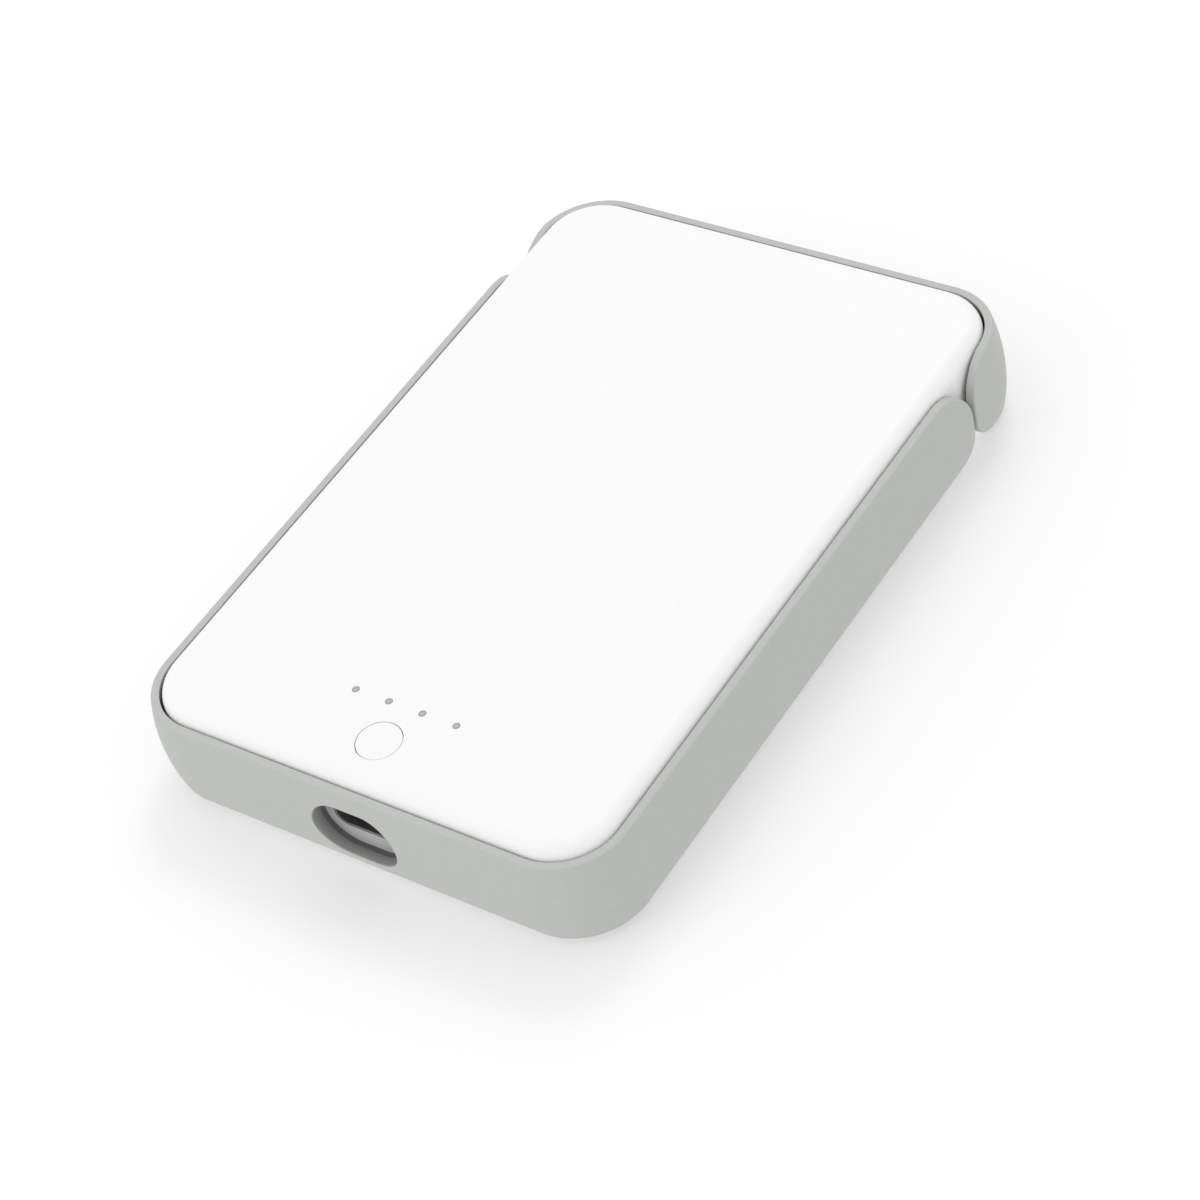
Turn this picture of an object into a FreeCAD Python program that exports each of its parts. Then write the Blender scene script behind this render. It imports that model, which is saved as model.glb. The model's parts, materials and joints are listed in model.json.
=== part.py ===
import FreeCAD, Part
import math
import os
import Sketcher

# Magnetic power bank, lying on its magnetic back face: +Z is the front face with the button and the
# lights, -Y is the end with the charging port, and the origin is the middle of the back face.

SIZES = {
    # Grey band round the edge, in two lengths
    "band_width": 65.7,
    "band_length": 98.1,
    "band_depth": 12.2,
    "band_wall": 1.0,
    "band_corner": 8.65,
    "band_bulge": 0.72,
    "band_hollow": 0.5,
    "band_round": 0.25,
    "band_gap": 0.26,
    "top_band_straight": 4.95,
    "split_gap": 0.6,
    "end_front_round": 5.9,
    "side_back_round": 2.9,
    "top_back_round": 4.9,
    "slot_width": 11.75,
    "slot_height": 8.3,
    "slot_round": 0.12,
    "collar_wall": 0.45,
    # White shells
    "front_rise": 1.27,
    "back_rise": 1.37,
    "front_edge": 2.0,
    "back_edge": 2.3,
    "shell_wall": 1.6,
    "front_wall": 1.6,
    "back_wall": 1.2,
    "lip_wall": 0.8,
    "lip_height": 1.0,
    "lip_gap": 0.1,
    # Charging port
    "port_offset": -0.44,
    "port_gap": 0.15,
    "port_sill": 1.79,
    "port_recess": 0.42,
    "recess_depth": 0.69,
    "plate_thickness": 0.3,
    "gasket_gap": 0.08,
    "gasket_seat": 0.03,
    "socket_width": 8.94,
    "socket_height": 3.26,
    "socket_wall": 0.3,
    "socket_depth": 7.3,
    "socket_fit": 0.05,
    "tongue_width": 6.7,
    "tongue_thickness": 0.7,
    "tongue_inset": 0.8,
    "tongue_base": 2.0,
    "contact_width": 0.26,
    "contact_margin": 0.47,
    "contact_inset": 0.9,
    "contact_thickness": 0.06,
    # Circuit board and its screws
    "board_side_gap": 2.99,
    "board_length": 16.0,
    "board_thickness": 1.0,
    "board_end_gap": 0.4,
    "board_corner": 3.0,
    "screw_inset": 3.4,
    "boss_diameter": 4.0,
    "screw_diameter": 1.5,
    "screw_gap": 0.15,
    "screw_grip": 2.2,
    "screw_head_diameter": 3.0,
    "screw_head_height": 0.9,
    # Button and its switch
    "button_inset": 6.44,
    "button_diameter": 5.52,
    "button_gap": 0.1,
    "button_edge": 0.08,
    "button_travel": 0.4,
    "flange_margin": 1.0,
    "flange_thickness": 0.6,
    "flange_slack": 0.1,
    "switch_width": 4.2,
    "switch_height": 0.8,
    "switch_floor": 0.2,
    "switch_reserve": 0.1,
    "plunger_diameter": 2.4,
    "plunger_gap": 0.2,
    "plunger_rise": 0.3,
    # Charge lights
    "light_inset": 11.79,
    "light_pitch": 4.78,
    "light_diameter": 0.88,
    "light_gap": 0.03,
    "guide_width": 3.0,
    "guide_thickness": 1.0,
    "guide_margin": 1.5,
    "led_length": 1.6,
    "led_width": 0.8,
    "led_height": 0.7,
    # Parts under the board
    "inductor_width": 7.0,
    "inductor_height": 3.0,
    "inductor_place": 13.0,
    "chip_width": 5.0,
    "chip_height": 0.9,
    "chip_place": 13.0,
    "driver_width": 4.0,
    "driver_height": 0.8,
    "driver_place": 7.5,
    "capacitor_length": 1.6,
    "capacitor_width": 0.8,
    "capacitor_height": 0.8,
    "capacitor_pitch": 2.2,
    "capacitor_place": 17.5,
    "parts_inset": 8.0,
    # Battery cell
    "cell_side_gap": 1.09,
    "cell_board_gap": 2.8,
    "cell_corner": 1.6,
    "cell_edge": 0.8,
    "cell_end_gap": 3.0,
    "tape_thickness": 0.3,
    "tape_margin": 6.0,
    "tab_width": 4.0,
    "tab_thickness": 0.2,
    "tab_spacing": 30.0,
    "tab_overlap": 3.0,
    # Magnets and charging coil
    "magnet_side_gap": 2.09,
    "magnet_width": 4.0,
    "magnet_thickness": 1.2,
    "magnet_space": 0.8,
    "lead_gate": 6.0,
    "yoke_thickness": 0.4,
    "ferrite_gap": 0.75,
    "ferrite_thickness": 0.6,
    "coil_margin": 0.75,
    "coil_inner": 20.0,
    "lead_diameter": 0.8,
    "lead_spacing": 3.0,
    "lead_clearance": 0.05,
    "lead_bend": 2.0,
    "foam_thickness": 1.54,
    "foam_margin": 5.0,
}
LIGHT_COUNT = 4
CONTACT_COUNT = 12
MAGNET_COUNT = 16
CAPACITOR_COUNT = 5


class Size:
    """A length with the spreadsheet expression that gives it."""

    def __init__(self, text, number):
        self.text = text
        self.number = number

    def __add__(self, other):
        return combine(self, "+", other)

    def __radd__(self, other):
        return combine(other, "+", self)

    def __sub__(self, other):
        return combine(self, "-", other)

    def __rsub__(self, other):
        return combine(other, "-", self)

    def __mul__(self, other):
        return combine(self, "*", other)

    def __rmul__(self, other):
        return combine(other, "*", self)

    def __truediv__(self, other):
        return combine(self, "/", other)

    def __neg__(self):
        return combine(0, "-", self)


def as_size(item):
    return item if isinstance(item, Size) else Size(str(item), float(item))


def combine(left, sign, right):
    a = as_size(left)
    b = as_size(right)
    results = {
        "+": a.number + b.number,
        "-": a.number - b.number,
        "*": a.number * b.number,
        "/": a.number / b.number if b.number else math.inf,
    }
    return Size(f"({a.text} {sign} {b.text})", results[sign])


doc = FreeCAD.newDocument("magnetic_power_bank")
sheet = doc.addObject("Spreadsheet::Sheet", "Dims")
for row, (alias, number) in enumerate(SIZES.items(), start=1):
    sheet.set(f"A{row}", alias)
    sheet.set(f"B{row}", str(number))
    sheet.setAlias(f"B{row}", alias)
doc.recompute()


class Dims:
    """The driving dimensions, each as a Size that refers to its cell."""


for alias in SIZES:
    setattr(Dims, alias, Size(f"Dims.{alias}", float(sheet.get(alias))))
d = Dims

# Levels above the back face
total_depth = d.back_rise + d.band_depth + d.front_rise
rim_back = d.back_rise
rim_front = d.back_rise + d.band_depth
ceiling = total_depth - d.front_wall
port_level = rim_back + d.band_depth / 2 + d.port_offset
parting = port_level - d.socket_height / 2 - d.port_gap - d.port_sill
board_bottom = port_level + d.socket_height / 2
board_top = board_bottom + d.board_thickness
cell_top = ceiling - d.tape_thickness
magnet_top = d.back_wall + d.magnet_thickness
stack_top = magnet_top + d.yoke_thickness
coil_top = stack_top - d.ferrite_thickness
cell_bottom = stack_top + d.foam_thickness

# Plan sizes of the shells and places measured from their port end
shell_width = d.band_width - 2 * (d.band_wall + d.band_gap)
shell_length = d.band_length - 2 * (d.band_wall + d.band_gap)
shell_corner = d.band_corner - d.band_wall - d.band_gap
lip_outset = d.shell_wall + d.lip_gap
back_shell_wall = lip_outset + d.lip_wall
split_y = d.band_length / 2 - d.band_corner - d.top_band_straight
port_end = -shell_length / 2
inner_end = port_end + d.shell_wall
button_y = port_end + d.button_inset
light_y = port_end + d.light_inset
board_width = shell_width - 2 * (d.shell_wall + d.board_side_gap)
board_y = inner_end + d.board_end_gap + d.board_length / 2
board_edge = board_y + d.board_length / 2
cell_width = shell_width - 2 * (back_shell_wall + d.cell_side_gap)
cell_low = board_edge + d.cell_board_gap
cell_high = -inner_end - d.cell_end_gap
cell_length = cell_high - cell_low
cell_y = (cell_low + cell_high) / 2
socket_mouth = port_end + d.port_recess
plate_back = port_end + d.recess_depth
plate_front = plate_back - d.plate_thickness
collar_end = d.band_wall - d.band_length / 2
collar_width = d.slot_width + 2 * d.collar_wall
collar_height = d.slot_height + 2 * d.collar_wall
parts_y = board_edge - d.parts_inset
magnet_outer = shell_width - 2 * (back_shell_wall + d.magnet_side_gap)
magnet_inner = magnet_outer - 2 * d.magnet_width
ferrite_diameter = magnet_inner - 2 * d.ferrite_gap
coil_outer = ferrite_diameter - 2 * d.coil_margin

nodes = {}


def keep(label, item):
    """Give a finished sub-part its name and list it for writing."""
    item.Label = label
    nodes[label] = item
    return item


def bind(item, **sizes):
    """Tie properties of an object to sizes; a double underscore stands for a dot."""
    for name, size in sizes.items():
        item.setExpression(name.replace("__", "."), as_size(size).text)


def box(name, size, middle, floor):
    """A box by its size, the middle of its plan and its lowest level."""
    item = doc.addObject("Part::Box", name)
    x = middle[0] - as_size(size[0]) / 2
    y = middle[1] - as_size(size[1]) / 2
    bind(item, Length=size[0], Width=size[1], Height=size[2])
    bind(item, Placement__Base__x=x, Placement__Base__y=y, Placement__Base__z=floor)
    return item


def rod(name, diameter, height, middle, floor):
    """An upright cylinder by its diameter, height, axis and lowest level."""
    item = doc.addObject("Part::Cylinder", name)
    bind(item, Radius=diameter / 2, Height=height)
    bind(item, Placement__Base__x=middle[0], Placement__Base__y=middle[1], Placement__Base__z=floor)
    return item


def cut(name, base, tool):
    item = doc.addObject("Part::Cut", name)
    item.Base = base
    item.Tool = tool
    return item


def fuse(name, shapes):
    item = doc.addObject("Part::MultiFuse", name)
    item.Shapes = shapes
    return item


def group(name, shapes):
    """Separate solids that share one name."""
    item = doc.addObject("Part::Compound", name)
    item.Links = shapes
    return item


def new_body(name):
    return doc.addObject("PartDesign::Body", name)


def new_sketch(body, name, role, offset):
    """A sketch on one of the body's own origin planes, shifted along the plane's normal."""
    sketch = body.newObject("Sketcher::SketchObject", name)
    plane = next(item for item in body.Origin.OriginFeatures if item.Role == role)
    sketch.AttachmentSupport = (plane, [""])
    sketch.MapMode = "FlatFace"
    bind(sketch, AttachmentOffset__Base__z=offset)
    return sketch


def hold(sketch, kind, size, *refs):
    """Add a dimension to a sketch and tie it to a size."""
    size = as_size(size)
    index = sketch.addConstraint(Sketcher.Constraint(kind, *refs, size.number))
    sketch.setExpression(f"Constraints[{index}]", size.text)


def relate(sketch, kind, *refs):
    sketch.addConstraint(Sketcher.Constraint(kind, *refs))


def hold_point(sketch, geometry, point, x, y):
    hold(sketch, "DistanceX", x, -1, 1, geometry, point)
    hold(sketch, "DistanceY", y, -1, 1, geometry, point)


def draw_circle(sketch, diameter, x, y):
    x = as_size(x)
    y = as_size(y)
    centre = FreeCAD.Vector(x.number, y.number, 0)
    upward = FreeCAD.Vector(0, 0, 1)
    index = sketch.addGeometry(Part.Circle(centre, upward, diameter.number / 2))
    hold_point(sketch, index, 3, x, y)
    hold(sketch, "Diameter", diameter, index)


def draw_arc(sketch, centre, radius, start, end):
    """An anticlockwise arc between two angles."""
    circle = Part.Circle(centre, FreeCAD.Vector(0, 0, 1), radius)
    while end < start:
        end += 2 * math.pi
    return sketch.addGeometry(Part.ArcOfCircle(circle, start, end))


def draw_slot(sketch, width, height, x, y):
    """A level slot with round ends."""
    half = (width - height) / 2
    radius = height / 2
    left = FreeCAD.Vector((x - half).number, y.number, 0)
    right = FreeCAD.Vector((x + half).number, y.number, 0)
    rise = FreeCAD.Vector(0, radius.number, 0)
    quarter = math.pi / 2
    top = sketch.addGeometry(Part.LineSegment(right + rise, left + rise))
    left_arc = draw_arc(sketch, left, radius.number, quarter, 3 * quarter)
    bottom = sketch.addGeometry(Part.LineSegment(left - rise, right - rise))
    right_arc = draw_arc(sketch, right, radius.number, -quarter, quarter)
    relate(sketch, "Tangent", top, 2, left_arc, 1)
    relate(sketch, "Tangent", left_arc, 2, bottom, 1)
    relate(sketch, "Tangent", bottom, 2, right_arc, 1)
    relate(sketch, "Tangent", right_arc, 2, top, 1)
    relate(sketch, "Horizontal", top)
    relate(sketch, "Horizontal", bottom)
    hold_point(sketch, left_arc, 3, x - half, y)
    hold(sketch, "DistanceX", x + half, -1, 1, right_arc, 3)
    hold(sketch, "Radius", radius, left_arc)


def draw_outline(sketch, corners, closed=True):
    """An anticlockwise outline of level and upright lines, through corners of (x, y, radius)."""
    count = len(corners)
    places = [FreeCAD.Vector(as_size(x).number, as_size(y).number, 0) for x, y, _ in corners]
    spans = [(i, (i + 1) % count) for i in range(count if closed else count - 1)]
    lines = {}
    for i, j in spans:
        run = (places[j] - places[i]).normalize()
        start = places[i] + run * (corners[i][2].number if corners[i][2] else 0)
        end = places[j] - run * (corners[j][2].number if corners[j][2] else 0)
        line = sketch.addGeometry(Part.LineSegment(start, end))
        lines[i] = line
        if abs(run.x) > abs(run.y):
            relate(sketch, "Horizontal", line)
            hold(sketch, "DistanceY", corners[i][1], -1, 1, line, 1)
        else:
            relate(sketch, "Vertical", line)
            hold(sketch, "DistanceX", corners[i][0], -1, 1, line, 1)
    for before, here in spans if closed else spans[:-1]:
        round_corner(sketch, places, before, here, lines, corners[here][2])
    if not closed:
        hold_free_end(sketch, lines[0], 1, places[1] - places[0], corners[0])
        hold_free_end(sketch, lines[count - 2], 2, places[-1] - places[-2], corners[-1])


def round_corner(sketch, places, before, here, lines, radius):
    """Join two lines of an outline, with an arc where the corner has a radius."""
    if radius is None:
        relate(sketch, "Coincident", lines[before], 2, lines[here], 1)
        return
    after = (here + 1) % len(places)
    inward = (places[here] - places[before]).normalize()
    outward = (places[after] - places[here]).normalize()
    centre = places[here] + (outward - inward) * radius.number
    start = math.atan2(-outward.y, -outward.x)
    arc = draw_arc(sketch, centre, radius.number, start, start + math.pi / 2)
    relate(sketch, "Tangent", lines[before], 2, arc, 1)
    relate(sketch, "Tangent", arc, 2, lines[here], 1)
    hold(sketch, "Radius", radius, arc)


def hold_free_end(sketch, line, point, run, corner):
    if abs(run.x) > abs(run.y):
        hold(sketch, "DistanceX", corner[0], -1, 1, line, point)
    else:
        hold(sketch, "DistanceY", corner[1], -1, 1, line, point)


def draw_box(sketch, left, right, low, high, radius):
    """A rectangle between two widths and two heights, with round corners if a radius is given."""
    places = [(left, low), (right, low), (right, high), (left, high)]
    draw_outline(sketch, [(x, y, radius) for x, y in places])


def draw_plan(sketch, width, length, radius):
    """A rectangle with round corners about the origin."""
    draw_box(sketch, -width / 2, width / 2, -length / 2, length / 2, radius)


def pad(body, name, sketch, length, reverse=False):
    feature = body.newObject("PartDesign::Pad", name)
    feature.Profile = sketch
    feature.Reversed = reverse
    bind(feature, Length=length)
    doc.recompute()
    return feature


def pocket(body, name, sketch, length, reverse=False):
    before = body.Shape.Volume
    feature = body.newObject("PartDesign::Pocket", name)
    feature.Profile = sketch
    feature.Reversed = reverse
    bind(feature, Length=length)
    doc.recompute()
    if not body.Shape.Volume < before:
        raise RuntimeError(f"{name} removes nothing")
    return feature


def fillet(body, name, base, radius, wanted):
    """Round the edges of a feature for which wanted(edge) holds."""
    edges = [f"Edge{i}" for i, edge in enumerate(base.Shape.Edges, start=1) if wanted(edge)]
    feature = body.newObject("PartDesign::Fillet", name)
    feature.Base = (base, edges)
    bind(feature, Radius=radius)
    doc.recompute()
    return feature


def at_level(level):
    """Test for edges that lie flat at a level."""
    def wanted(edge):
        box_of_edge = edge.BoundBox
        return max(abs(box_of_edge.ZMin - level.number), abs(box_of_edge.ZMax - level.number)) < 1e-4
    return wanted


def screw_places():
    """The four screw axes, set in from the board's corners."""
    x = board_width / 2 - d.screw_inset
    y = d.board_length / 2 - d.screw_inset
    return [(x * i, board_y + y * j) for i in (-1, 1) for j in (-1, 1)]


def light_places():
    return [((i - (LIGHT_COUNT - 1) / 2) * d.light_pitch, light_y) for i in range(LIGHT_COUNT)]


def cut_recess(body, name):
    """The recess for the port's plate and gasket, which crosses from one shell to the other."""
    recess = new_sketch(body, f"{name}_outline", "XZ_Plane", -port_end)
    gap = 2 * d.gasket_gap
    draw_slot(recess, collar_width + gap, collar_height + gap, as_size(0), port_level)
    pocket(body, name, recess, d.recess_depth)


def make_front_shell():
    body = new_body("front_shell")
    plan = new_sketch(body, "front_plan", "XY_Plane", parting)
    draw_plan(plan, shell_width, shell_length, shell_corner)
    block = pad(body, "front_block", plan, total_depth - parting)
    fillet(body, "front_rounding", block, d.front_edge, at_level(total_depth))
    hollow = new_sketch(body, "front_hollow_plan", "XY_Plane", parting)
    wall = d.shell_wall
    draw_plan(hollow, shell_width - 2 * wall, shell_length - 2 * wall, shell_corner - wall)
    pocket(body, "front_hollow", hollow, ceiling - parting, reverse=True)
    bosses = new_sketch(body, "boss_plan", "XY_Plane", board_top)
    pilots = new_sketch(body, "pilot_plan", "XY_Plane", board_top)
    for x, y in screw_places():
        draw_circle(bosses, d.boss_diameter, x, y)
        draw_circle(pilots, d.screw_diameter + d.screw_gap, x, y)
    pad(body, "bosses", bosses, ceiling - board_top)
    pocket(body, "pilot_holes", pilots, d.screw_grip + d.screw_gap, reverse=True)
    port = new_sketch(body, "port_outline", "XZ_Plane", -port_end)
    draw_slot(port, d.socket_width + 2 * d.port_gap, d.socket_height + 2 * d.port_gap, as_size(0), port_level)
    pocket(body, "port_hole", port, d.shell_wall)
    cut_recess(body, "front_recess")
    holes = new_sketch(body, "face_holes_plan", "XY_Plane", total_depth)
    draw_circle(holes, d.button_diameter + 2 * d.button_gap, 0, button_y)
    for x, y in light_places():
        draw_circle(holes, d.light_diameter + 2 * d.light_gap, x, y)
    pocket(body, "face_holes", holes, d.front_wall)
    return body


def make_back_shell():
    body = new_body("back_shell")
    plan = new_sketch(body, "back_plan", "XY_Plane", 0)
    draw_plan(plan, shell_width, shell_length, shell_corner)
    block = pad(body, "back_block", plan, parting)
    fillet(body, "back_rounding", block, d.back_edge, at_level(as_size(0)))
    wall = back_shell_wall
    hollow = new_sketch(body, "back_hollow_plan", "XY_Plane", parting)
    draw_plan(hollow, shell_width - 2 * wall, shell_length - 2 * wall, shell_corner - wall)
    pocket(body, "back_hollow", hollow, parting - d.back_wall)
    lip = new_sketch(body, "lip_plan", "XY_Plane", parting)
    draw_plan(lip, shell_width - 2 * lip_outset, shell_length - 2 * lip_outset, shell_corner - lip_outset)
    draw_plan(lip, shell_width - 2 * wall, shell_length - 2 * wall, shell_corner - wall)
    pad(body, "lip", lip, d.lip_height)
    cut_recess(body, "back_recess")
    return body


def draw_band_section(sketch, side):
    """The band's section: a strip between flat rims, bowed outwards on both faces."""
    inner = d.band_width / 2 - d.band_wall
    outer = d.band_width / 2
    half = d.band_depth / 2
    axis_z = rim_back + half
    bows = []
    for x, rise in ((inner, d.band_hollow), (outer, d.band_bulge)):
        radius = (half * half + rise * rise) / (2 * rise)
        axis_x = side * (x + rise - radius)
        centre = FreeCAD.Vector(axis_x.number, axis_z.number, 0)
        rims = [FreeCAD.Vector(side * x.number, z.number, 0) for z in (rim_back, rim_front)]
        angles = [math.atan2((p - centre).y, (p - centre).x) for p in rims]
        bow = draw_arc(sketch, centre, radius.number, *(angles if side > 0 else angles[::-1]))
        hold_point(sketch, bow, 3, axis_x, axis_z)
        hold(sketch, "Radius", radius, bow)
        bows.append((bow, rims))
    low, high = (1, 2) if side > 0 else (2, 1)
    (inside, inner_rims), (outside, outer_rims) = bows
    floor = sketch.addGeometry(Part.LineSegment(inner_rims[0], outer_rims[0]))
    roof = sketch.addGeometry(Part.LineSegment(outer_rims[1], inner_rims[1]))
    relate(sketch, "Coincident", inside, low, floor, 1)
    relate(sketch, "Coincident", floor, 2, outside, low)
    relate(sketch, "Coincident", outside, high, roof, 1)
    relate(sketch, "Coincident", roof, 2, inside, high)
    hold(sketch, "DistanceY", rim_back, -1, 1, floor, 1)
    hold(sketch, "DistanceY", rim_front, -1, 1, roof, 1)
    relate(sketch, "Horizontal", floor)
    relate(sketch, "Horizontal", roof)


def draw_end_corner(sketch, end_y, along, level, inward, radius):
    """What is cut from a corner of the band's end to round it; along and inward point into the band."""
    corner = FreeCAD.Vector(end_y.number, level.number, 0)
    on_rim = corner + FreeCAD.Vector(along * radius.number, 0, 0)
    on_end = corner + FreeCAD.Vector(0, inward * radius.number, 0)
    centre = on_rim + on_end - corner
    rim = sketch.addGeometry(Part.LineSegment(on_rim, corner))
    end = sketch.addGeometry(Part.LineSegment(corner, on_end))
    angles = [math.atan2((p - centre).y, (p - centre).x) for p in (on_end, on_rim)]
    forward = (angles[1] - angles[0]) % (2 * math.pi) < math.pi
    arc = draw_arc(sketch, centre, radius.number, *(angles if forward else angles[::-1]))
    end_point, rim_point = (1, 2) if forward else (2, 1)
    relate(sketch, "Horizontal", rim)
    relate(sketch, "Vertical", end)
    relate(sketch, "Coincident", rim, 2, end, 1)
    relate(sketch, "Tangent", end, 2, arc, end_point)
    relate(sketch, "Tangent", rim, 1, arc, rim_point)
    hold_point(sketch, end, 1, end_y, level)
    hold(sketch, "Radius", radius, arc)


def make_band(name, end_y, way, back_round):
    """A length of the band round one end of the shells: way is -1 for the port end."""
    body = new_body(name)
    x = d.band_width / 2 - d.band_wall
    y = way * (d.band_length / 2 - d.band_wall)
    corner = d.band_corner - d.band_wall
    path = new_sketch(body, f"{name}_path", "XY_Plane", rim_back)
    side = way
    draw_outline(path, [(side * x, end_y, None), (side * x, y, corner), (-side * x, y, corner),
                        (-side * x, end_y, None)], closed=False)
    section = new_sketch(body, f"{name}_section", "XZ_Plane", -end_y)
    draw_band_section(section, side)
    sweep = body.newObject("PartDesign::AdditivePipe", f"{name}_sweep")
    sweep.Profile = section
    sweep.Spine = (path, [f"Edge{i}" for i in range(1, 6)])
    doc.recompute()

    corners = new_sketch(body, f"{name}_end_corners", "YZ_Plane", -d.band_width)
    draw_end_corner(corners, end_y, way, rim_front, -1, d.end_front_round)
    draw_end_corner(corners, end_y, way, rim_back, 1, back_round)
    ends = pocket(body, f"{name}_ends", corners, 2 * d.band_width, reverse=True)

    def outer_rim(edge):
        """The straight edge at the far end; the rest of its smooth chain round the outside follows it."""
        b = edge.BoundBox
        outside = way * d.band_length.number / 2
        return at_level(rim_front)(edge) and max(abs(b.YMin - outside), abs(b.YMax - outside)) < 1e-4

    fillet(body, f"{name}_rim", ends, d.band_round, outer_rim)
    return body


def make_side_band():
    """The longer band, with a collar round its slot that fills the hollow behind it."""
    body = make_band("side_band", split_y - d.split_gap, -1, d.side_back_round)
    collar = new_sketch(body, "collar_outline", "XZ_Plane", -collar_end)
    draw_slot(collar, collar_width, collar_height, as_size(0), port_level)
    pad(body, "collar", collar, d.band_wall)
    slot = new_sketch(body, "slot_outline", "XZ_Plane", d.band_length / 2 + d.band_bulge)
    draw_slot(slot, d.slot_width, d.slot_height, as_size(0), port_level)
    hole = pocket(body, "slot", slot, d.band_wall + d.band_bulge)

    def slot_mouth(edge):
        b = edge.BoundBox
        within = max(abs(b.XMin), abs(b.XMax)) < d.slot_width.number / 2 + 1e-3
        return within and b.YMax < -d.band_length.number / 2 + d.band_wall.number / 2
    fillet(body, "slot_mouth", hole, d.slot_round, slot_mouth)
    return body


def make_port_trim():
    """The plate on the recess floor, and the gasket between it and the band's collar."""
    middle = as_size(0)
    plate = new_body("port_plate")
    plan = new_sketch(plate, "port_plate_plan", "XZ_Plane", -plate_back)
    draw_slot(plan, collar_width, collar_height, middle, port_level)
    draw_slot(plan, d.socket_width + 2 * d.port_gap, d.socket_height + 2 * d.port_gap, middle, port_level)
    pad(plate, "port_plate_pad", plan, d.plate_thickness)
    keep("port_plate", plate)

    gasket = new_body("port_gasket")
    ring = new_sketch(gasket, "gasket_plan", "XZ_Plane", -plate_front)
    draw_slot(ring, collar_width, collar_height, middle, port_level)
    draw_slot(ring, d.slot_width, d.slot_height, middle, port_level)
    pad(gasket, "gasket_ring", ring, plate_front - collar_end - d.gasket_seat)
    keep("port_gasket", gasket)


def make_socket():
    """Steel shell, tongue and contacts of the charging port."""
    middle = as_size(0)
    level = port_level
    shell = new_body("socket_shell")
    ring = new_sketch(shell, "socket_ring", "XZ_Plane", -socket_mouth)
    bore_width = d.socket_width - 2 * d.socket_wall
    bore_height = d.socket_height - 2 * d.socket_wall
    draw_slot(ring, d.socket_width, d.socket_height, middle, level)
    draw_slot(ring, bore_width, bore_height, middle, level)
    pad(shell, "socket_tube", ring, d.socket_depth, reverse=True)
    keep("socket_shell", shell)

    tongue = new_body("socket_tongue")
    rear = socket_mouth + d.socket_depth
    block = new_sketch(tongue, "tongue_base_plan", "XZ_Plane", -rear)
    draw_slot(block, bore_width - 2 * d.socket_fit, bore_height - 2 * d.socket_fit, middle, level)
    pad(tongue, "tongue_block", block, d.tongue_base)
    plate = new_sketch(tongue, "tongue_plan", "XZ_Plane", -rear)
    x = d.tongue_width / 2
    z = d.tongue_thickness / 2
    draw_box(plate, -x, x, level - z, level + z, None)
    pad(tongue, "tongue_plate", plate, d.socket_depth - d.tongue_inset)
    keep("socket_tongue", tongue)

    strips = []
    strip_length = d.socket_depth - d.tongue_inset - d.tongue_base - d.contact_inset
    strip_y = rear - d.tongue_base - strip_length / 2
    strip_size = (d.contact_width, strip_length, d.contact_thickness)
    pitch = (d.tongue_width - 2 * d.contact_margin - d.contact_width) / (CONTACT_COUNT - 1)
    for i in range(CONTACT_COUNT):
        place = ((i - (CONTACT_COUNT - 1) / 2) * pitch, strip_y)
        strips.append(box(f"contact_top_{i}", strip_size, place, level + z))
        strips.append(box(f"contact_low_{i}", strip_size, place, level - z - d.contact_thickness))
    keep("socket_contacts", group("socket_contacts", strips))


def make_board():
    """Circuit board, its screws and the parts soldered to its underside."""
    board = new_body("circuit_board")
    plan = new_sketch(board, "board_plan", "XY_Plane", board_bottom)
    x = board_width / 2
    draw_box(plan, -x, x, board_y - d.board_length / 2, board_edge, d.board_corner)
    screws = []
    for i, place in enumerate(screw_places()):
        draw_circle(plan, d.screw_diameter + 2 * d.screw_gap, *place)
        length = d.board_thickness + d.screw_grip
        shank = rod(f"screw_shank_{i}", d.screw_diameter, length, place, board_bottom)
        head_floor = board_bottom - d.screw_head_height
        head = rod(f"screw_head_{i}", d.screw_head_diameter, d.screw_head_height, place, head_floor)
        screws.append(fuse(f"screw_{i}", [head, shank]))
    pad(board, "board_plate", plan, d.board_thickness)
    keep("circuit_board", board)
    keep("board_screws", group("board_screws", screws))

    def hang(name, width, height, x):
        """A square part soldered under the board."""
        keep(name, box(name, (width, width, height), (x, parts_y), board_bottom - height))

    hang("power_inductor", d.inductor_width, d.inductor_height, d.inductor_place)
    hang("charge_chip", d.chip_width, d.chip_height, -d.chip_place)
    hang("coil_driver", d.driver_width, d.driver_height, -d.driver_place)
    caps = []
    cap_size = (d.capacitor_length, d.capacitor_width, d.capacitor_height)
    cap_floor = board_bottom - d.capacitor_height
    for i in range(CAPACITOR_COUNT):
        y = parts_y + (i - (CAPACITOR_COUNT - 1) / 2) * d.capacitor_pitch
        caps.append(box(f"capacitor_{i}", cap_size, (-d.capacitor_place, y), cap_floor))
    keep("capacitors", group("capacitors", caps))


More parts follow.
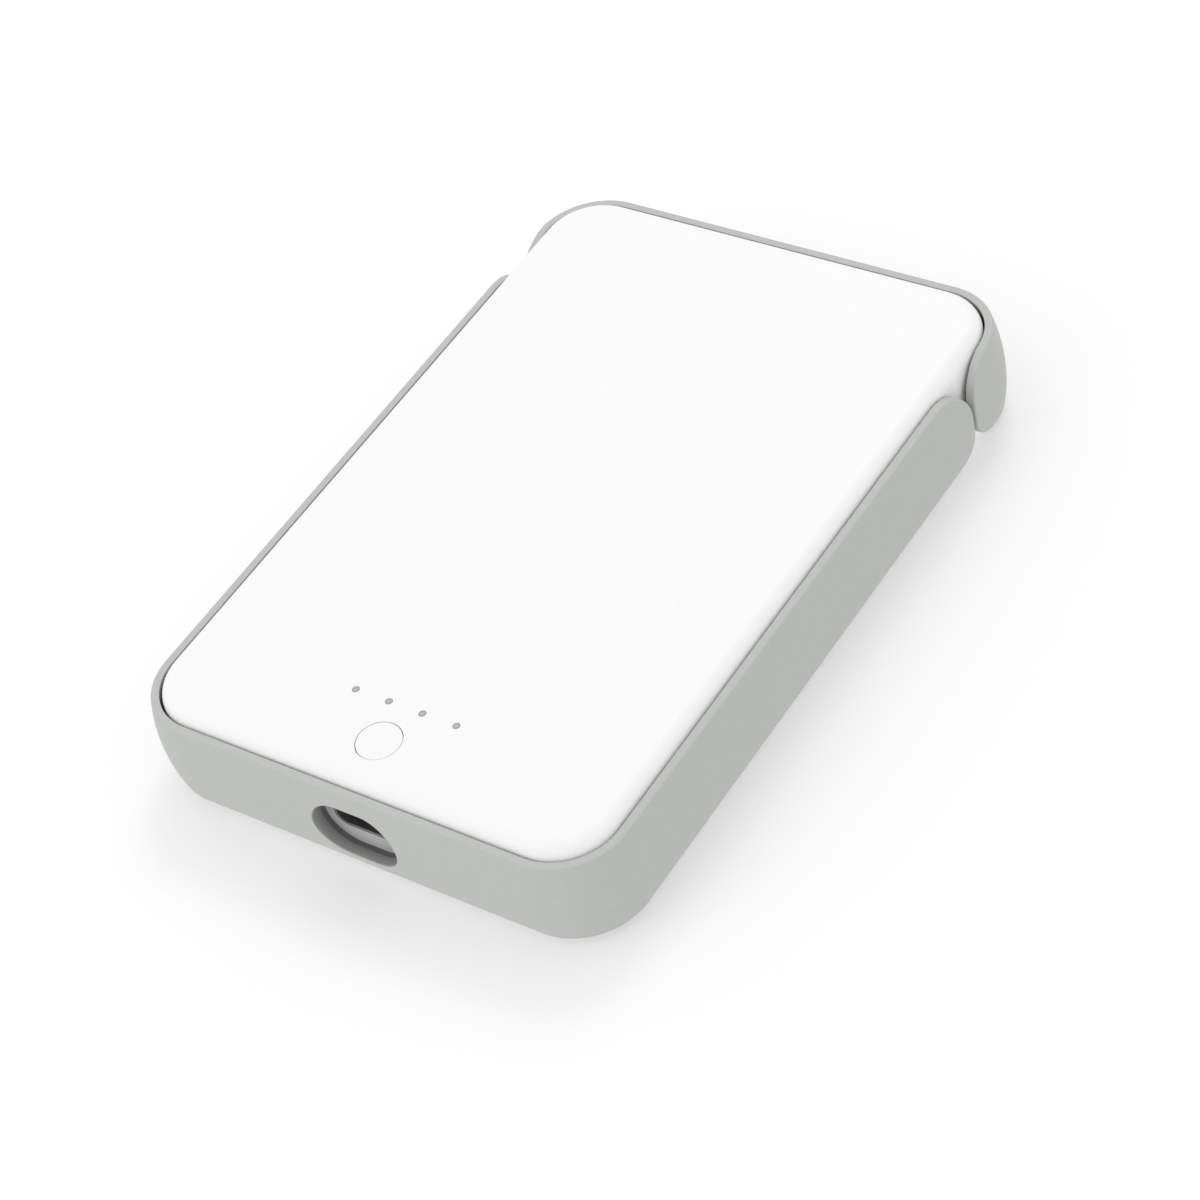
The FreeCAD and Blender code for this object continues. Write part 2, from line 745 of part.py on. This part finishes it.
def make_button():
    """Button cap with its retaining flange, and the switch that it presses."""
    flange_top = ceiling - d.flange_slack
    flange_bottom = flange_top - d.flange_thickness
    plunger_top = board_top + d.switch_height + d.plunger_rise
    body = new_body("power_button")
    cap = new_sketch(body, "cap_plan", "XY_Plane", flange_bottom)
    draw_circle(cap, d.button_diameter, 0, button_y)
    top = pad(body, "cap", cap, total_depth - flange_bottom)
    fillet(body, "cap_edge", top, d.button_edge, at_level(total_depth))
    flange = new_sketch(body, "flange_plan", "XY_Plane", flange_bottom)
    draw_circle(flange, d.button_diameter + 2 * d.flange_margin, 0, button_y)
    pad(body, "flange", flange, d.flange_thickness)
    stem = new_sketch(body, "stem_plan", "XY_Plane", flange_bottom)
    draw_circle(stem, d.plunger_diameter, 0, button_y)
    pad(body, "stem", stem, flange_bottom - plunger_top, reverse=True)
    keep("power_button", body)

    place = (as_size(0), button_y)
    base = box("switch_base", (d.switch_width, d.switch_width, d.switch_height), place, board_top)
    well_floor = board_top + d.switch_floor
    well_depth = d.switch_height - d.switch_floor
    well = rod("switch_well", d.plunger_diameter + 2 * d.plunger_gap, well_depth, place, well_floor)
    keep("tact_switch", cut("tact_switch", base, well))
    foot = well_floor + d.button_travel + d.switch_reserve
    keep("switch_plunger", rod("switch_plunger", d.plunger_diameter, plunger_top - foot, place, foot))


def make_lights():
    """Light guide with a post for each charge light, and the lamps under it."""
    bar_length = (LIGHT_COUNT - 1) * d.light_pitch + d.light_diameter + 2 * d.guide_margin
    bar_floor = ceiling - d.guide_thickness
    bar_size = (bar_length, d.guide_width, d.guide_thickness)
    pieces = [box("guide_bar", bar_size, (as_size(0), light_y), bar_floor)]
    lamps = []
    for i, place in enumerate(light_places()):
        pieces.append(rod(f"guide_post_{i}", d.light_diameter, total_depth - bar_floor, place, bar_floor))
        lamps.append(box(f"lamp_{i}", (d.led_length, d.led_width, d.led_height), place, board_top))
    keep("light_guide", fuse("light_guide", pieces))
    keep("charge_lamps", group("charge_lamps", lamps))


def make_cell():
    """Battery cell with its tape, its tabs and the foam that presses on it."""
    body = new_body("battery_cell")
    plan = new_sketch(body, "cell_plan", "XY_Plane", cell_bottom)
    draw_box(plan, -cell_width / 2, cell_width / 2, cell_low, cell_high, d.cell_corner)
    block = pad(body, "cell_block", plan, cell_top - cell_bottom)
    top = at_level(cell_top)
    bottom = at_level(cell_bottom)
    fillet(body, "cell_rounding", block, d.cell_edge, lambda edge: top(edge) or bottom(edge))
    keep("battery_cell", body)

    middle = as_size(0)
    tape_size = (cell_width - 2 * d.tape_margin, cell_length - 2 * d.tape_margin, d.tape_thickness)
    keep("cell_tape", box("cell_tape", tape_size, (middle, cell_y), cell_top))
    foam_width = cell_width - 2 * d.foam_margin
    foam_size = (foam_width, foam_width, d.foam_thickness)
    keep("foam_pad", box("foam_pad", foam_size, (middle, middle), stack_top))
    tab_end = board_edge - d.tab_overlap
    tab_length = cell_low - tab_end
    tab_size = (d.tab_width, tab_length, d.tab_thickness)
    tabs = []
    for i, side in enumerate((-1, 1)):
        place = (side * d.tab_spacing / 2, tab_end + tab_length / 2)
        tabs.append(box(f"tab_{i}", tab_size, place, board_bottom - d.tab_thickness))
    keep("cell_tabs", group("cell_tabs", tabs))


def ring(name, outer, inner, height, floor):
    middle = (as_size(0), as_size(0))
    disc = rod(f"{name}_disc", outer, height, middle, floor)
    bore = rod(f"{name}_bore", inner, height, middle, floor)
    return cut(name, disc, bore)


def make_magnets():
    """Ring of magnets with a gate for the coil's leads, and the steel ring on it."""
    turn = 180 / math.pi
    gate = 2 * turn * d.lead_gate / magnet_outer
    pitch = (360 - gate) / MAGNET_COUNT
    space = 2 * turn * d.magnet_space / magnet_outer
    middle = (as_size(0), as_size(0))
    sectors = []
    for i in range(MAGNET_COUNT):
        sector = rod(f"magnet_{i}", magnet_outer, d.magnet_thickness, middle, d.back_wall)
        bind(sector, Angle=pitch - space, Placement__Rotation__Angle=gate / 2 + space / 2 + i * pitch - 90)
        sectors.append(sector)
    bore = rod("magnet_bore", magnet_inner, d.magnet_thickness, middle, d.back_wall)
    keep("ring_magnets", cut("ring_magnets", group("magnet_sectors", sectors), bore))
    keep("magnet_yoke", ring("magnet_yoke", magnet_outer, magnet_inner, d.yoke_thickness, magnet_top))


def make_lead(name, x):
    """A coil lead: along the back wall through the gate, then up to the board."""
    body = new_body(name)
    level = d.back_wall + d.lead_diameter / 2 + d.lead_clearance
    start = -coil_outer / 2 - d.lead_clearance
    rise_y = board_edge - d.tab_overlap
    path = new_sketch(body, f"{name}_path", "YZ_Plane", x)
    draw_lead_path(path, start, level, rise_y, board_bottom, d.lead_bend)
    section = new_sketch(body, f"{name}_section", "XZ_Plane", -start)
    draw_circle(section, d.lead_diameter, x, level)
    sweep = body.newObject("PartDesign::AdditivePipe", f"{name}_sweep")
    sweep.Profile = section
    sweep.Spine = (path, ["Edge1", "Edge2", "Edge3"])
    doc.recompute()
    return body


def draw_lead_path(sketch, start, level, turn_y, top, bend):
    """A level run towards -Y, a quarter bend and an upright run."""
    run_end = turn_y + bend
    run = sketch.addGeometry(Part.LineSegment(FreeCAD.Vector(start.number, level.number, 0),
                                              FreeCAD.Vector(run_end.number, level.number, 0)))
    centre = FreeCAD.Vector(run_end.number, (level + bend).number, 0)
    arc = draw_arc(sketch, centre, bend.number, math.pi, 1.5 * math.pi)
    rise = sketch.addGeometry(Part.LineSegment(FreeCAD.Vector(turn_y.number, (level + bend).number, 0),
                                               FreeCAD.Vector(turn_y.number, top.number, 0)))
    relate(sketch, "Tangent", run, 2, arc, 2)
    relate(sketch, "Tangent", arc, 1, rise, 1)
    relate(sketch, "Horizontal", run)
    relate(sketch, "Vertical", rise)
    hold_point(sketch, run, 1, start, level)
    hold_point(sketch, rise, 2, turn_y, top)
    hold(sketch, "Radius", bend, arc)


def make_coil():
    """Flat charging coil, its leads and the ferrite sheet over it."""
    coil = ring("charging_coil", coil_outer, d.coil_inner, coil_top - d.back_wall, d.back_wall)
    keep("charging_coil", coil)
    middle = (as_size(0), as_size(0))
    keep("ferrite_sheet", rod("ferrite_sheet", ferrite_diameter, d.ferrite_thickness, middle, coil_top))
    leads = [make_lead(f"lead_{i}", side * d.lead_spacing / 2) for i, side in enumerate((-1, 1))]
    keep("coil_leads", group("coil_leads", leads))


def check(items):
    """Stop before anything is written if an object failed or a shape isn't sound."""
    for item in doc.Objects:
        if "Invalid" in item.State or "Error" in item.State:
            raise RuntimeError(f"{item.Label} failed: {item.State}")
    for label, item in items.items():
        if item.Shape.isNull() or not item.Shape.isValid():
            raise RuntimeError(f"{label} has no sound shape")


keep("front_shell", make_front_shell())
keep("back_shell", make_back_shell())
keep("side_band", make_side_band())
keep("top_band", make_band("top_band", split_y, 1, d.top_back_round))
make_port_trim()
make_socket()
make_board()
make_button()
make_lights()
make_cell()
make_magnets()
make_coil()
doc.recompute()
check(nodes)

os.makedirs("parts", exist_ok=True)
for label, item in nodes.items():
    item.Shape.exportStep(f"parts/{label}.step")
    print(label, len(item.Shape.Solids), round(item.Shape.Volume, 2))
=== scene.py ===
import json
import math

import bpy
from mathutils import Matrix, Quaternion, Vector


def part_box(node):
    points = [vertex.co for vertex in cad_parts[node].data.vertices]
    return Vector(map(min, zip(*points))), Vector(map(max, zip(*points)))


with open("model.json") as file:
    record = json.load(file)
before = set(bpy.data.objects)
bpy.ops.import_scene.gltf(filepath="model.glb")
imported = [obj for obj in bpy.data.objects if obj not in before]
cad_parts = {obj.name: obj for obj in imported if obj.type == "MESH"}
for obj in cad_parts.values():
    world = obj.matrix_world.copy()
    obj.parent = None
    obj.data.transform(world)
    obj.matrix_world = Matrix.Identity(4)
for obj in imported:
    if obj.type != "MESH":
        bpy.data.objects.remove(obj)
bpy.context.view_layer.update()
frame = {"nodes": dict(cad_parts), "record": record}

MM = 0.001

# Camera of the photograph, in the part's frame
EYE = Vector((203.73, -204.61, 283.96)) * MM
AZIMUTH = math.radians(45.068)
ELEVATION = math.radians(44.824)
ROLL = math.radians(-16.810)
LENS_MM = 100.0
SENSOR_MM = 36.0
CLIP_START = 10 * MM

# Light: strength of the surroundings, then each lamp's place, disk size and watts, aimed at the origin
AMBIENT = 0.87
LAMPS = {
    "key": ((-0.1, 0.4, 0.55), 0.3, 0.6),
    "fill": ((-0.25, -0.5, 0.3), 0.6, 0.5),
}

# Floor: half its side, its level, its white, and the glow that keeps it white away from the shadow
FLOOR_HALF = 3.0
FLOOR_LEVEL = -0.05 * MM
FLOOR_MATT = 0.96
FLOOR_LIFT = 0.06

# Range of a noise texture that a material's variation is spread over
NOISE_LOW = 0.3
NOISE_HIGH = 0.7
FINE_DETAIL = 3.0
SLOW_DETAIL = 2.0
BUMP_STRENGTH = 0.3

# The slot's wall, darkened with painted shade: sizes from the part, the darkest painted shade, and the share
# of it at the mouth and at the end
COLLAR_WALL = 0.45 * MM
SLOT_ROUND = 0.12 * MM
SLOT_SHADE_TONE = 88
SLOT_SHADE_SHARES = 0.2, 0.76

# The charge lights: pitch from the part, where the painted shade round each light's rim starts and ends, and
# its tone
LIGHT_PITCH = 4.78 * MM
RIM_START = 0.2 * MM
RIM_END = 0.42 * MM
RIM_SHADE_TONE = 158


def srgb(level):
    """Linear value of a display level from 0 to 255."""
    value = level / 255
    return value / 12.92 if value <= 0.04045 else ((value + 0.055) / 1.055) ** 2.4


def colour(red, green, blue):
    return (srgb(red), srgb(green), srgb(blue), 1)


def grey(level):
    return colour(level, level, level)


class Nodes:
    """Short way to build a node tree."""

    def __init__(self, tree):
        self.tree = tree
        tree.nodes.clear()

    def add(self, kind, inputs=(), **settings):
        node = self.tree.nodes.new(kind)
        for name, value in settings.items():
            setattr(node, name, value)
        for name, value in dict(inputs).items():
            if isinstance(value, bpy.types.NodeSocket):
                self.tree.links.new(value, node.inputs[name])
            else:
                node.inputs[name].default_value = value
        return node

    def noise(self, coordinates, scale, detail):
        inputs = {"Vector": coordinates, "Scale": scale, "Detail": detail}
        return self.add("ShaderNodeTexNoise", inputs).outputs["Fac"]

    def ramp(self, factor, low, high):
        node = self.add("ShaderNodeValToRGB", {"Fac": factor})
        first, last = node.color_ramp.elements
        first.position, first.color = NOISE_LOW, low
        last.position, last.color = NOISE_HIGH, high
        return node.outputs["Color"]

    def between(self, value, start, end, low=0.0, high=1.0):
        """The range from start to end, spread from low to high."""
        inputs = {"Value": value, "From Min": start, "From Max": end, "To Min": low, "To Max": high}
        return self.add("ShaderNodeMapRange", inputs).outputs["Result"]

    def bump(self, height, distance):
        inputs = {"Height": height, "Strength": BUMP_STRENGTH, "Distance": distance}
        return self.add("ShaderNodeBump", inputs).outputs["Normal"]

    def math(self, operation, first, second=0.0):
        return self.add("ShaderNodeMath", {0: first, 1: second}, operation=operation).outputs[0]

    def length(self, first, second):
        both = self.add("ShaderNodeCombineXYZ", {"X": first, "Z": second}).outputs[0]
        return self.add("ShaderNodeVectorMath", {0: both}, operation="LENGTH").outputs["Value"]

    def mix(self, factor, first, second):
        """Two colours mixed: inputs 6 and 7 and output 2 are the mix node's colour sockets."""
        inputs = {0: factor, 6: first, 7: second}
        return self.add("ShaderNodeMix", inputs, data_type="RGBA").outputs[2]

    def seen(self):
        """1 for rays that show the surroundings, 0 for rays that only carry light."""
        path = self.add("ShaderNodeLightPath").outputs
        shown = self.math("MAXIMUM", path["Is Camera Ray"], path["Is Glossy Ray"])
        return self.math("MAXIMUM", shown, path["Is Transmission Ray"])


def grained(name, tones, rough, grain, depth, patch=90, metal=0.0, paint_shade=None):
    """A name and its material: slow colour variation, a fine grain and a gloss that follows it.

    patch and grain are the scales of the slow and the fine noise, and depth is the grain's height in mm.
    """
    material = bpy.data.materials.new(name)
    material.use_nodes = True
    n = Nodes(material.node_tree)
    place = n.add("ShaderNodeTexCoord").outputs["Object"]
    slow = n.noise(place, patch, SLOW_DETAIL)
    fine = n.noise(place, grain, FINE_DETAIL)
    base = n.ramp(slow, *tones)
    # paint_shade, when given, lays painted shade over the base colour
    if paint_shade:
        base = paint_shade(n, place, base)
    inputs = {
        "Base Color": base,
        "Roughness": n.between(fine, NOISE_LOW, NOISE_HIGH, *rough),
        "Normal": n.bump(fine, depth * MM),
        "Metallic": metal,
    }
    shader = n.add("ShaderNodeBsdfPrincipled", inputs)
    n.add("ShaderNodeOutputMaterial", {"Surface": shader.outputs["BSDF"]})
    return name, material


def slot_wall_painted_shade(n, place, base):
    """The band's colour with painted shade, darker down the wall of the plug slot."""
    low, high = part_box("port_plate")
    middle = (low[2] + high[2]) / 2
    radius = (high[2] - low[2]) / 2 - COLLAR_WALL
    run = (high[0] - low[0]) / 2 - COLLAR_WALL - radius
    axes = n.add("ShaderNodeSeparateXYZ", {0: place}).outputs
    across = n.math("MAXIMUM", n.math("SUBTRACT", n.math("ABSOLUTE", axes["X"]), run))
    reach = n.length(across, n.math("SUBTRACT", axes["Z"], middle))
    wall = n.between(reach, radius + SLOT_ROUND, radius + SLOT_ROUND / 4)
    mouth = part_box("side_band")[0][1]
    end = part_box("port_gasket")[0][1]
    share = n.between(axes["Y"], mouth, end, *SLOT_SHADE_SHARES)
    # painted shade mixed into the band's colour down the slot's wall
    return n.mix(n.math("MULTIPLY", wall, share), base, grey(SLOT_SHADE_TONE))


def light_rim_painted_shade(n, place, base):
    """The light guide's colour with painted shade, darker round the edge of each light."""
    low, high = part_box("light_guide")
    axes = n.add("ShaderNodeSeparateXYZ", {0: place}).outputs
    step = n.math("FRACT", n.math("DIVIDE", axes["X"], LIGHT_PITCH))
    along = n.math("MULTIPLY", n.math("SUBTRACT", step, 0.5), LIGHT_PITCH)
    reach = n.length(along, n.math("SUBTRACT", axes["Y"], (low[1] + high[1]) / 2))
    # painted shade mixed in round the edge of each light
    return n.mix(n.between(reach, RIM_START, RIM_END), base, grey(RIM_SHADE_TONE))


def make_materials():
    """A finish for each material slot of the record, and for nodes that have one of their own."""
    white = grey(246), grey(248)
    band = colour(187, 189, 186), colour(190, 192, 189)
    gold = colour(222, 178, 92), colour(232, 192, 110)
    green = colour(22, 74, 46), colour(30, 88, 54)
    tan = colour(176, 146, 108), colour(192, 164, 126)
    cream = colour(236, 230, 196), colour(242, 238, 210)
    copper = colour(176, 100, 60), colour(200, 120, 74)
    satin = {"rough": (0.55, 0.66), "grain": 5200, "depth": 0.02, "patch": 1600}
    made = [
        grained("white_plastic", white, (0.42, 0.52), 7000, 0.012, patch=2000),
        grained("grey_band", band, **satin),
        # the side band gets painted shade down the wall of its plug slot
        grained("side_band", band, **satin, paint_shade=slot_wall_painted_shade),
        grained("grey_plastic", (grey(182), grey(186)), (0.5, 0.6), 5200, 0.02),
        grained("dark_rubber", (grey(92), grey(98)), (0.65, 0.75), 4200, 0.02),
        grained("socket_shell", (grey(140), grey(152)), (0.45, 0.55), 3000, 0.004, metal=1.0),
        grained("steel", (grey(196), grey(208)), (0.22, 0.32), 3000, 0.004, metal=1.0),
        grained("black_plastic", (grey(34), grey(42)), (0.4, 0.55), 4000, 0.01),
        grained("dark_ferrite", (grey(52), grey(62)), (0.6, 0.75), 2500, 0.02),
        grained("gold_plate", gold, (0.2, 0.3), 3000, 0.003, metal=1.0),
        grained("board_laminate", green, (0.3, 0.42), 2200, 0.01),
        grained("tan_ceramic", tan, (0.5, 0.6), 3000, 0.01),
        # the light guide gets painted shade round each light
        grained("light_guide", (grey(180), grey(186)), (0.25, 0.35), 5000, 0.004, paint_shade=light_rim_painted_shade),
        grained("lamp_ceramic", cream, (0.3, 0.4), 3000, 0.004),
        grained("cell_foil", (grey(204), grey(218)), (0.3, 0.42), 1200, 0.03, metal=0.9),
        grained("tape", (grey(226), grey(236)), (0.7, 0.8), 2400, 0.02),
        grained("foam", (grey(40), grey(58)), (0.85, 0.95), 1800, 0.1),
        grained("nickel", (grey(196), grey(210)), (0.2, 0.3), 2600, 0.004, metal=1.0),
        grained("copper", copper, (0.28, 0.4), 2600, 0.02, metal=1.0),
    ]
    return dict(made)


def finish_nodes(materials):
    """Give every CAD node its own finish or that of its slot."""
    for row in frame["record"]["subparts"]:
        node = frame["nodes"][row["node"]]
        node.data.materials.clear()
        own = materials.get(row["node"])
        node.data.materials.append(own or materials[row["material_slot"]])


def make_camera():
    camera = bpy.data.objects.new("camera", bpy.data.cameras.new("camera"))
    bpy.context.scene.collection.objects.link(camera)
    level = math.cos(ELEVATION)
    back = Vector((math.sin(AZIMUTH) * level, -math.cos(AZIMUTH) * level, math.sin(ELEVATION)))
    camera.location = EYE
    camera.rotation_mode = "QUATERNION"
    camera.rotation_quaternion = (-back).to_track_quat("-Z", "Y") @ Quaternion((0, 0, 1), ROLL)
    camera.data.lens = LENS_MM
    camera.data.sensor_width = SENSOR_MM
    camera.data.clip_start = CLIP_START
    bpy.context.scene.camera = camera


def make_world():
    """Even white surroundings: white as seen, softer as light."""
    world = bpy.data.worlds.new("studio")
    world.use_nodes = True
    bpy.context.scene.world = world
    n = Nodes(world.node_tree)
    strength = n.between(n.seen(), 0.0, 1.0, AMBIENT, 1.0)
    light = n.add("ShaderNodeBackground", {"Color": (1, 1, 1, 1), "Strength": strength})
    n.add("ShaderNodeOutputWorld", {"Surface": light.outputs["Background"]})


def make_floor():
    """White floor that keeps the object's shadow, lets light reach its underside, and is clear from below."""
    mesh = bpy.data.meshes.new("floor")
    sides = [(-1, -1), (1, -1), (1, 1), (-1, 1)]
    corners = [(x * FLOOR_HALF, y * FLOOR_HALF, FLOOR_LEVEL) for x, y in sides]
    mesh.from_pydata(corners, [], [(0, 1, 2, 3)])
    floor = bpy.data.objects.new("floor", mesh)
    bpy.context.scene.collection.objects.link(floor)
    material = bpy.data.materials.new("floor")
    material.use_nodes = True
    n = Nodes(material.node_tree)
    matt = n.add("ShaderNodeBsdfDiffuse", {"Color": (FLOOR_MATT, FLOOR_MATT, FLOOR_MATT, 1)})
    glow = n.add("ShaderNodeEmission", {"Color": (1, 1, 1, 1), "Strength": FLOOR_LIFT})
    lift = n.add("ShaderNodeAddShader", {0: matt.outputs[0], 1: glow.outputs[0]})
    clear = n.add("ShaderNodeBsdfTransparent")
    below = n.add("ShaderNodeNewGeometry").outputs["Backfacing"]
    through = n.math("MAXIMUM", below, n.math("SUBTRACT", 1.0, n.seen()))
    mixed = n.add("ShaderNodeMixShader", {"Fac": through, 1: lift.outputs[0], 2: clear.outputs[0]})
    n.add("ShaderNodeOutputMaterial", {"Surface": mixed.outputs[0]})
    mesh.materials.append(material)


def make_lamp(name, place, size, watts):
    data = bpy.data.lights.new(name, "AREA")
    data.shape = "DISK"
    data.size = size
    data.energy = watts
    lamp = bpy.data.objects.new(name, data)
    bpy.context.scene.collection.objects.link(lamp)
    lamp.location = place
    lamp.rotation_mode = "QUATERNION"
    lamp.rotation_quaternion = (-Vector(place)).to_track_quat("-Z", "Y")


bpy.context.scene.view_settings.view_transform = "Standard"
finish_nodes(make_materials())
make_camera()
make_world()
make_floor()
for lamp_name, lamp in LAMPS.items():
    make_lamp(lamp_name, *lamp)
